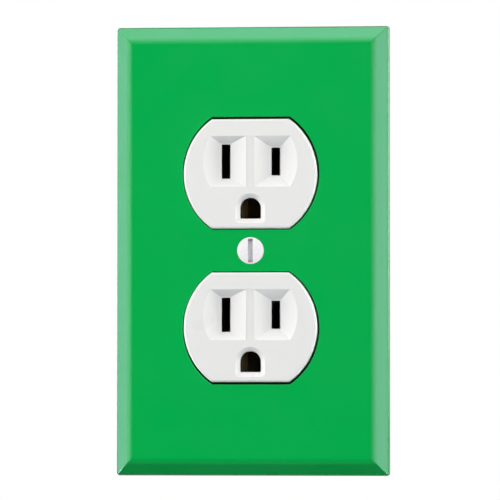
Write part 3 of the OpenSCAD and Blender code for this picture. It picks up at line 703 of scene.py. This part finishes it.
def groove(side, y):
    """The hollow that guides a blade: flared from round its slot to one half of the recess."""
    half_h = RECESS_H / 2
    reach = math.degrees(math.asin(RECESS_H / RECESS_D))
    ridge = RIDGE_W / 2
    x_near = BLADE_X - SLOT_W / 2 - SLOT_LAND
    x_far = BLADE_X + SLOT_W / 2 + SLOT_LAND
    slot_half = SLOT_H[side] / 2 + SLOT_LAND
    steps = 24
    bend = arc(0, 0, RECESS_D / 2, reach, -reach, steps)
    mouth = [(ridge, -half_h), (ridge, half_h)] + bend
    foot = [(x_near, -slot_half), (x_near, slot_half)]
    foot += between((x_far, slot_half), (x_far, -slot_half), steps) + [(x_far, -slot_half)]
    levels = ((foot, face_top - GROOVE_DEPTH), (mouth, face_top), (mouth, face_top + PAST))
    return loft("groove", [[room_point(side * px, py + y, h) for px, py in loop] for loop, h in levels])


def face_boss(s):
    """The raised part of the upper (1) or lower (-1) outlet."""
    return stack("boss", lambda g: flatted(FACE_D + 2 * g, FACE_H + 2 * g),
                 rounded_levels(face_bottom + 0.5, face_top, 0, FACE_EDGE, 9), y=s * face_y)


def face_moat(s):
    """The cutter of the trough round an outlet."""
    return stack("moat", lambda g: flatted(FACE_D + 2 * MOAT_W, FACE_H + 2 * MOAT_W),
                 [(0, MOAT_FLOOR), (0, FLANGE_TOP + PAST)], y=s * face_y)


def outlet_cutters(s):
    """The cutters of one outlet's grooves, blade slots and ground hole."""
    y = s * face_y + BLADE_RISE
    cutters = [groove(side, y) for side in (-1, 1)]
    for side in (-1, 1):
        cutters.append(stack("slot", lambda g: rounded_rect(SLOT_W, SLOT_H[side], SLOT_CORNER, 3),
                             [(0, -PAST), (0, face_top)], x=side * BLADE_X, y=y))
    flare = (FUNNEL_W - GROUND_W) / 2
    cutters.append(stack("ground", lambda g: ground_outline(GROUND_W + 2 * g, GROUND_CORNER + g / 2), [
        (0, -PAST), (0, face_top - FUNNEL_DEPTH), (flare, face_top), (flare, face_top + PAST)],
        y=y - GROUND_DROP))
    return cutters


def ridge_cutter(y):
    """Takes the ridge between two grooves down a little."""
    half_w = RIDGE_W / 2 + 0.1
    return box("ridge", (-half_w, half_w), (y - RECESS_H / 2, y + RECESS_H / 2),
               (face_top - RIDGE_DROP, face_top + PAST))


def face_back_cutters():
    """The cutters of the screw and rivet holes and of the hollows for the strap and its small rivets."""
    through = [(0, -PAST), (0, FLANGE_TOP + PAST)]
    cutters = [stack("hole", lambda g: circle(COLLAR_HOLE_R), through)]
    cutters += [stack("hole", lambda g: circle(RIVET_R + RIVET_CLEARANCE), through, x=s * RIVET_X)
                for s in (-1, 1)]
    cutters += [stack("channel", lambda g: rounded_rect(w, h, corner, 4),
                      [(0, -PAST), (0, STRAP_CHANNEL_TOP)], x=x, y=y) for w, h, corner, x, y in STRAP_CHANNEL]
    cutters += [stack("pocket", lambda g: circle(RIVET_POCKET_R, 32), [(0, -PAST), (0, RIVET_POCKET_TOP)],
                      x=s * RIVET_POCKET_X, y=y) for s in (-1, 1) for y in GROUND_Y]
    return cutters


def build_receptacle_face():
    flange_l = face_high.z - face_low.z
    face = stack("receptacle_face.look",
                 lambda g: rounded_rect(flange_w + 2 * g, flange_l + 2 * g, FLANGE_CORNER + g),
                 rounded_levels(face_bottom, FLANGE_TOP, 0, FLANGE_EDGE))
    combine(face, [face_moat(s) for s in (-1, 1)], "DIFFERENCE")
    combine(face, [face_boss(s) for s in (-1, 1)], "UNION")
    combine(face, [cutter for s in (-1, 1) for cutter in outlet_cutters(s)], "DIFFERENCE")
    soften(face.data, FACE_SOFT, 17)
    ridges = [ridge_cutter(y) for y in (face_y + BLADE_RISE, BLADE_RISE - face_y)]
    combine(face, ridges + face_back_cutters(), "DIFFERENCE")
    return finish_piece(face, "receptacle_face", white_plastic)


# ---------- screws ----------

def build_cover_screw():
    """Oval head on an 82 degree countersink, slotted, its thread starting behind the plate."""
    r = cover_head_r
    core = THREAD_6 - THREAD_DEPTH
    cone = (r - core) / math.tan(HEAD_HALF_ANGLE)
    seat = cover_head_top - COVER_DOME
    under = [(core, seat - cone), (r - COVER_RIM, seat - COVER_RIM), (r, seat)]
    dome_r = (r * r + COVER_DOME * COVER_DOME) / (2 * COVER_DOME)
    reach = math.degrees(math.asin((r - COVER_RIM) / dome_r))
    dome = arc(0, cover_head_top - dome_r, dome_r, 90 - reach, 89, 10)
    head = turn_to(lathe("cover_screw.look", under + dome, 96), facing_room(), (0, 0, 0))
    half_w, half_l, depth = COVER_SLOT
    slot = driver_cut(half_w, half_l, cover_head_top - depth, cover_head_top, COVER_SLOT_SLOPE)
    combine(head, [turn_to(slot, facing_room(), (0, 0, 0))], "DIFFERENCE")
    soften(head.data, HEAD_SOFT, 30)
    thread = threaded("thread", THREAD_6, cover_screw_tip, seat - cone + 0.4)
    combine(head, [turn_to(thread, facing_room(), (0, 0, 0))], "UNION")
    return finish_piece(head, "cover_screw", white_paint)


def slotted_head(name, r, h):
    """A low domed head about local Z, its underside at 0, with a screwdriver slot."""
    edge = 0.14
    under = [(r - edge + g, edge + z) for g, z in arc(0, 0, edge, -90, 0, 3)]
    crown = [(r * x, h * z) for x, z in ((1, 0.56), (0.985, 0.66), (0.94, 0.76), (0.84, 0.86), (0.66, 0.94),
                                         (0.4, 0.985), (0.08, 1.0))]
    head = lathe(name, under + crown, 72)
    half_w, half_l, depth = DRIVER_SLOT
    combine(head, [driver_cut(half_w, half_l, h - depth, h)], "DIFFERENCE")
    soften(head.data, HEAD_SOFT, 30)
    return head


def build_terminal_screw(node, side, vertical, material):
    """Binding-head screw in the contact's side plate."""
    low, high = (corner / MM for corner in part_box(node))
    r, h = HEAD_8
    top = high.x if side > 0 else low.x
    screw = slotted_head(node + ".look", r, h)
    shank = (high.x - low.x) - h
    combine(screw, [threaded("thread", THREAD_8, -shank, THREAD_START)], "UNION")
    seat = (top - side * h, (low.y + high.y) / 2, (low.z + high.z) / 2)
    turn_to(screw, facing_side(side), seat, spin=20 * vertical + 35)
    return finish_piece(screw, node, material)


def build_ground_screw():
    """Hexagon-head screw, slotted, in the strap's tab."""
    low, high = (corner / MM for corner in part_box("ground_screw"))
    flats, h = HEX_HEAD
    corner_r = flats / math.sqrt(3)
    levels = [(corner_r - HEX_EDGE, 0), (corner_r, HEX_EDGE),
              (corner_r, h - HEX_CHAMFER), (corner_r - 1.6 * HEX_CHAMFER, h)]
    head = loft("ground_screw.look", [[Vector((x, y, z)) * MM for x, y in circle(r, 6)] for r, z in levels])
    half_w, half_l, depth = DRIVER_SLOT
    combine(head, [driver_cut(half_w, half_l, h - depth, h)], "DIFFERENCE")
    soften(head.data, HEX_SOFT, 30)
    shank = (high.x - low.x) - h
    combine(head, [threaded("thread", THREAD_8, -shank, THREAD_START)], "UNION")
    seat = (low.x + h, (low.y + high.y) / 2, (low.z + high.z) / 2)
    turn_to(head, facing_side(-1), seat, spin=60)
    return finish_piece(head, "ground_screw", green_dye)


def build_mounting_screw(node, s):
    """Pan-head screw with an undercut neck where the strap holds it."""
    low, high = (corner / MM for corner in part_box(node))
    r, h = HEAD_6
    screw = slotted_head(node + ".look", r, h)
    seat = -low.y - h
    tip = -high.y - seat
    neck = lathe("neck", [(NECK_R, -NECK_L - THREAD_START), (NECK_R, THREAD_START)], 48)
    combine(screw, [neck, threaded("thread", THREAD_6, tip, -NECK_L)], "UNION")
    turn_to(screw, facing_room(), ((low.x + high.x) / 2, -seat, (low.z + high.z) / 2), spin=25 * s)
    return finish_piece(screw, node, zinc_steel)


plate = build_wall_plate()
face = build_receptacle_face()
build_cover_screw()
build_ground_screw()
for vertical, level in ((1, "upper"), (-1, "lower")):
    build_terminal_screw("hot_screw_" + level, 1, vertical, brass)
    build_terminal_screw("neutral_screw_" + level, -1, vertical, nickel)
    build_mounting_screw("mounting_screw_" + level, vertical)

CARRIED = {     # node: material, slot, edge radius
    "back_body": (body_plastic, "white_body", 0.25),
    "mounting_strap": (zinc_steel, "zinc_steel", 0.12),
    "hot_contact": (dull_brass, "brass", 0.1),
    "neutral_contact": (dull_brass, "brass", 0.1),
    "ground_contact_upper": (tarnished, "brass", 0.08),
    "ground_contact_lower": (tarnished, "brass", 0.08),
    "ground_contact_rivets": (nickel, "nickel_plate", 0.08),
    "assembly_rivets": (zinc_steel, "zinc_steel", 0.12),
    "hot_clamp_upper": (brass, "brass", 0.15),
    "hot_clamp_lower": (brass, "brass", 0.15),
    "neutral_clamp_upper": (nickel, "nickel_plate", 0.15),
    "neutral_clamp_lower": (nickel, "nickel_plate", 0.15),
    "ground_clamp": (brass, "brass", 0.15),
    "retaining_washer": (fibre, "fibre", 0.1),
    "self_ground_clip": (brass, "brass", 0.06),
    "clip_rivet": (nickel, "nickel_plate", 0.08),
}
for node, (material, slot, width) in CARRIED.items():
    finish_piece(from_cad(node, width), node, material)


# ---------- camera, floor and light, in metres ----------

VIEW_MARGIN = 1.1089                # the view's height at the plate, over the plate's height
AZIMUTH, ELEVATION = math.radians(6), math.radians(-1.5)      # seen a little from the right and from below
FLOOR_R, FLOOR_TOP, FLOOR_T = 4, -0.7, 0.002
REACH = 0.9                         # from the object to the lights round it
SQUARE = (0.42, 0.42)               # and their size
MIRRORED = {                        # angle round the plate, from the right: how strong its lights are
    0: 1.17, 30: 1.12, 60: 1.05, 90: 0.96, 120: 0.95, 150: 0.94, 180: 0.94, -35: 3, 215: 3}
MIRRORED_POWER = (2.55, 2.1, 0.75)  # straight to the side, and at each step towards the room
MIRRORED_STEP = math.radians(26)
COOL = (0.72, 0.80, 1.0)
GRAZING = ((180, 6.2), (0, 5.2), (90, 2.8))      # angle round the plate, and power
GRAZING_RISE = math.radians(10)
SOFT_LIGHTS = (                     # name, place, size and power
    ("left_key", (-0.85, -0.85, 0.1), (0.6, 0.6), 9.2),
    ("right_key", (0.85, -0.85, 0.1), (0.6, 0.6), 5.2),
    ("top_key", (0, -0.85, 0.85), (0.9, 0.5), 4.8),
    ("front_fill", (0.3, -0.85, 0.08), (0.25, 0.25), 0.7),
    ("left_fill", (-REACH, 0, 0), SQUARE, 0.3),
    ("right_fill", (REACH, 0, 0), SQUARE, 3.8))
FACE_SHARE = 0.7                    # how much of the soft lights reaches the receptacle's face


def aim(thing, target):
    thing.rotation_euler = (Vector(target) - thing.location).to_track_quat("-Z", "Y").to_euler()


def panel(name, place_at, size, power, colour=(1, 1, 1)):
    """A soft rectangular light that faces the origin and that the camera doesn't see."""
    light = bpy.data.lights.new(name, "AREA")
    light.shape = "RECTANGLE"
    light.size, light.size_y = size
    light.energy = power
    light.color = colour
    holder = bpy.data.objects.new(name, light)
    holder.location = place_at
    scene.collection.objects.link(holder)
    aim(holder, (0, 0, 0))
    holder.visible_camera = False
    return holder


def only_for(name, wanted):
    """A collection of the only meshes that a light reaches: those for which wanted is true."""
    receivers = bpy.data.collections.new(name)
    for piece in scene.objects:
        if piece.type == "MESH" and wanted(piece):
            receivers.objects.link(piece)
    return receivers


def around_plate(angle, rise):
    """A place at REACH from the origin, round the plate by angle degrees and towards the room by rise."""
    x, z = math.cos(math.radians(angle)), math.sin(math.radians(angle))
    return (REACH * x * math.cos(rise), -REACH * math.sin(rise), REACH * z * math.cos(rise))


def build_camera():
    data = bpy.data.cameras.new("camera")
    data.lens = 340
    data.sensor_width = 36
    data.shift_x = -0.0066     # the object stands a little right of and below the middle of the view
    data.shift_y = 0.0022
    camera = bpy.data.objects.new("camera", data)
    scene.collection.objects.link(camera)
    distance = plate_depth * MM + plate_h * MM * VIEW_MARGIN * data.lens / data.sensor_width
    camera.location = (plate_x * MM + distance * math.sin(AZIMUTH) * math.cos(ELEVATION),
                       -distance * math.cos(AZIMUTH) * math.cos(ELEVATION),
                       distance * math.sin(ELEVATION))
    aim(camera, (plate_x * MM, 0, 0))
    return camera


def build_floor():
    """A disc under the object, which glows a little so that it stays pale."""
    floor = loft("floor", [[Vector((x, y, z)) for x, y in circle(FLOOR_R, 96)]
                           for z in (FLOOR_TOP - FLOOR_T, FLOOR_TOP)])
    material, tree, shader = make_nodes("floor")
    tree.links.new(mix_colours(tree, noise(tree, 60), (0.80, 0.80, 0.80), (0.84, 0.84, 0.84)),
                   shader.inputs["Base Color"])
    shader.inputs["Roughness"].default_value = 0.7
    shader.inputs["Emission Color"].default_value = (1, 1, 1, 1)
    shader.inputs["Emission Strength"].default_value = 0.7
    floor.data.materials.append(material)
    floor.visible_glossy = False
    floor.visible_diffuse = False


def light_bevels():
    """What the bevels mirror: a light at each angle, and two more towards the room at the sides and top."""
    receivers = only_for("mirroring", lambda piece: piece == plate)
    for around, share in MIRRORED.items():
        powers = MIRRORED_POWER if around % 90 == 0 else MIRRORED_POWER[:1]
        for step, power in enumerate(powers):
            mirrored = panel(f"mirrored_{around}_{step}", around_plate(around, step * MIRRORED_STEP),
                             SQUARE, share * power, colour=COOL)
            mirrored.visible_diffuse = False
            mirrored.light_linking.receiver_collection = receivers


def light_metals():
    """What the metal pieces mirror from the sides."""
    metals = (zinc_steel, brass, dull_brass, tarnished, nickel, green_dye)
    receivers = only_for("metal_pieces", lambda piece: piece.data.materials[0] in metals)
    for s in (-1, 1):
        gloss = panel(f"metal_gloss_{s}", (REACH * s, -0.1, 0.1), (1.0, 0.8), 1.8)
        gloss.light_linking.receiver_collection = receivers


def light_softly():
    """Soft light on everything. The face gets less of it, and low lights that bring out its recesses."""
    face_only = only_for("face_only", lambda piece: piece == face)
    others = only_for("others", lambda piece: piece != face)
    for name, place_at, size, power in SOFT_LIGHTS:
        for receivers, share in ((others, 1), (face_only, FACE_SHARE)):
            key = panel(name, place_at, size, power * share)
            key.visible_glossy = False
            key.light_linking.receiver_collection = receivers
    for around, power in GRAZING:
        grazing = panel("grazing", around_plate(around, GRAZING_RISE), SQUARE, power)
        grazing.visible_glossy = False
        grazing.light_linking.receiver_collection = face_only
    panel("low_fill", (0, -0.25, -0.86), (0.6, 0.6), 2.2, colour=(0.75, 1.0, 1.25)).visible_glossy = False
    panel("back_left", (-0.7, 0.8, 0.35), (0.6, 0.8), 6)
    panel("back_right", (0.7, 0.8, 0.35), (0.6, 0.8), 6)


def build_world():
    """Pure white to the camera. As a light it is dim towards the room and brighter behind the wall."""
    world = bpy.data.worlds.new("studio")
    world.use_nodes = True
    tree = world.node_tree
    background = tree.nodes["Background"]
    camera_ray = add(tree, "ShaderNodeLightPath").outputs["Is Camera Ray"]
    direction = add(tree, "ShaderNodeTexCoord").outputs["Generated"]
    towards = add(tree, "ShaderNodeSeparateXYZ", {"Vector": direction}).outputs["Y"]
    lit = spread(tree, towards, 0.01, 0.42, 0.35, 0.8)
    seen = spread(tree, camera_ray, lit, 1.0, 0.0, 1.0)
    tree.links.new(seen, background.inputs["Strength"])
    background.inputs["Color"].default_value = (1, 1, 1, 1)
    return world


scene.camera = build_camera()
build_floor()
light_bevels()
light_metals()
light_softly()
scene.world = build_world()
scene.view_settings.view_transform = "Standard"
